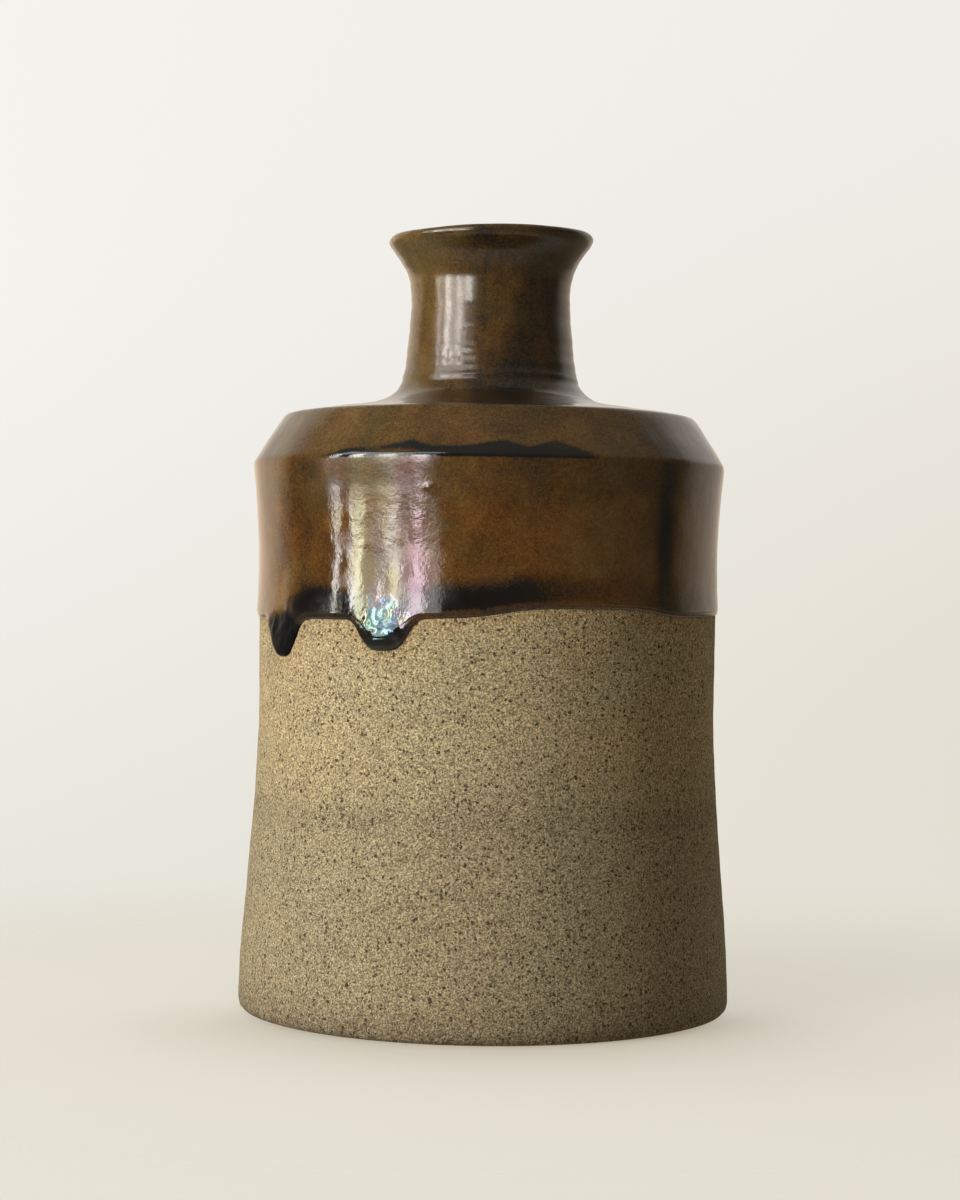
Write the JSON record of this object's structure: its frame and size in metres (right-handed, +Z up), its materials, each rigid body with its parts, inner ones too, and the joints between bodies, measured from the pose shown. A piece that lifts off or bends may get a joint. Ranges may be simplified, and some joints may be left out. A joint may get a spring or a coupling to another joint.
{
  "type": "sake bottle",
  "caption": "Straight-sided stoneware bottle with a sloped shoulder, a short flared neck and a glaze coat that runs over bare clay.",
  "frame": {"origin": "middle of the standing ring, on the table plane", "axes": "+Z up through the mouth, -Y towards the front, where the larger run of glaze is left of the middle, +X to the right"},
  "size_m": [0.0824, 0.0824, 0.13],
  "materials": {
    "stoneware_clay": "matte unglazed stoneware, warm grey-buff with fine dark iron specks",
    "liner_glaze": "glossy dark brown glaze",
    "iron_glaze": "glossy iron glaze, amber brown where thin and near black where thick"
  },
  "bodies": {
    "root": {"stoneware_body": "stoneware_clay", "liner_glaze": "liner_glaze", "outer_glaze": "iron_glaze"}
  },
  "joints": []
}
